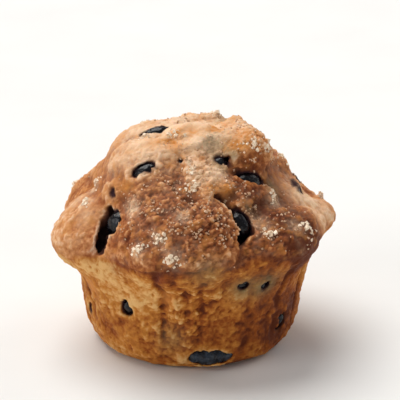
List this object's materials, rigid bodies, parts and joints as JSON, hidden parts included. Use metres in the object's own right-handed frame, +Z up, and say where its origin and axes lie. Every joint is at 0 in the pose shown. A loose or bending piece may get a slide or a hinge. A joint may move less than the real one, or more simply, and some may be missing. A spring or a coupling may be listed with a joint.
{
  "type": "blueberry muffin",
  "caption": "Large bakery muffin with a lobed, sugar-topped crown over a tapered wall and a flat base, with blueberries showing at its surface.",
  "frame": {"origin": "centre of the flat base, on the surface that the muffin stands on", "axes": "+Z up through the crown; the muffin's front, with the long crack across its crown, faces -Y; +X to its right"},
  "size_m": [0.0956, 0.0963, 0.0761],
  "materials": {
    "crumb": "matte",
    "blueberry": "satin",
    "sugar": "gloss"
  },
  "bodies": {
    "root": {"blueberry_base_front": "blueberry", "blueberry_crack_front": "blueberry", "blueberry_crack_right": "blueberry", "blueberry_crack_summit": "blueberry", "blueberry_crown_back_left": "blueberry", "blueberry_crown_back_right": "blueberry", "blueberry_crown_front_left": "blueberry", "blueberry_crown_front_small": "blueberry", "blueberry_crown_left": "blueberry", "blueberry_crown_left_small": "blueberry", "blueberry_crown_right": "blueberry", "blueberry_crown_right_small": "blueberry", "blueberry_rim_back": "blueberry", "blueberry_rim_back_right": "blueberry", "blueberry_rim_front_left": "blueberry", "blueberry_rim_left": "blueberry", "blueberry_summit_back": "blueberry", "blueberry_summit_left": "blueberry", "blueberry_wall_back": "blueberry", "blueberry_wall_back_low": "blueberry", "blueberry_wall_front_left": "blueberry", "blueberry_wall_front_right": "blueberry", "blueberry_wall_left": "blueberry", "blueberry_wall_left_low": "blueberry", "blueberry_wall_right": "blueberry", "blueberry_wall_right_high": "blueberry", "blueberry_wall_right_low": "blueberry", "muffin_body": "crumb", "sugar_clump_back": "sugar", "sugar_clump_back_high": "sugar", "sugar_clump_back_left": "sugar", "sugar_clump_back_right": "sugar", "sugar_clump_crown_left": "sugar", "sugar_clump_crown_left_high": "sugar", "sugar_clump_crown_right": "sugar", "sugar_clump_front_bright": "sugar", "sugar_clump_front_large": "sugar", "sugar_clump_front_left": "sugar", "sugar_clump_knob_front": "sugar", "sugar_clump_knob_right": "sugar", "sugar_clump_left": "sugar", "sugar_clump_left_rim": "sugar", "sugar_clump_right": "sugar", "sugar_clump_right_rim": "sugar", "sugar_clump_rim_front": "sugar", "sugar_clump_rim_front_left": "sugar", "sugar_clump_rim_front_right": "sugar", "sugar_clump_rim_right": "sugar", "sugar_clump_summit_front": "sugar", "sugar_clump_summit_left": "sugar"}
  },
  "joints": []
}
